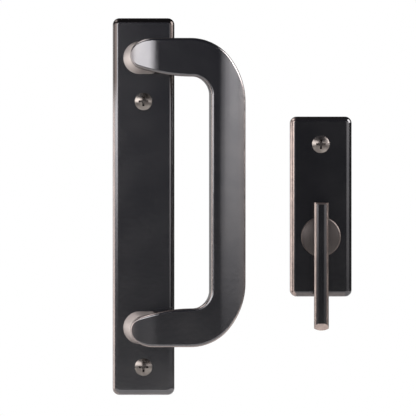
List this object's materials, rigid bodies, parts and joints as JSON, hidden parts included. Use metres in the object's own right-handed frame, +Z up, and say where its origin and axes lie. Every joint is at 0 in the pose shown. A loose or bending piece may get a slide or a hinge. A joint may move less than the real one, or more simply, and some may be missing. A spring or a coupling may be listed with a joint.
{
  "type": "sliding patio door handle set",
  "caption": "Interior handle set for a sliding patio door: an offset bow pull on a tall back plate and a long lever thumb turn on a short plate.",
  "frame": {"origin": "on the door's face, midway between the two screws of the pull", "axes": "+X right across the door seen from the room, +Y into the door along the screws, +Z up; the hardware stands out towards -Y"},
  "size_m": [0.1515, 0.084, 0.239],
  "materials": {
    "dark_bronze_casting": "dark oil-rubbed bronze, satin",
    "dark_bronze_screws": "dark bronze plated",
    "zinc_plated_steel": "zinc plated",
    "black_acetal": "matt"
  },
  "bodies": {
    "door_side": {"pull_back_plate": "dark_bronze_casting", "pull_bow": "dark_bronze_casting", "bow_screw_upper_left": "zinc_plated_steel", "bow_screw_upper_right": "zinc_plated_steel", "bow_screw_lower_left": "zinc_plated_steel", "bow_screw_lower_right": "zinc_plated_steel", "spring_washer_upper_left": "zinc_plated_steel", "spring_washer_upper_right": "zinc_plated_steel", "spring_washer_lower_left": "zinc_plated_steel", "spring_washer_lower_right": "zinc_plated_steel", "pull_screw_upper": "dark_bronze_screws", "pull_screw_lower": "dark_bronze_screws", "lock_plate": "dark_bronze_casting", "lock_plate_screw": "dark_bronze_screws", "stem_bushing": "black_acetal"},
    "turning_side": {"thumb_lever": "dark_bronze_casting", "stop_washer": "zinc_plated_steel", "disc_spring": "zinc_plated_steel", "thrust_washer": "zinc_plated_steel", "retaining_ring": "zinc_plated_steel", "tailpiece": "zinc_plated_steel", "tailpiece_pin": "zinc_plated_steel"}
  },
  "joints": [
    {"name": "thumb_turn", "type": "hinge", "parent": "door_side", "child": "turning_side", "pos_m": [0.1124, 0, -0.0016], "axis": [0, -1, 0], "range_deg": [0, 90]}
  ]
}
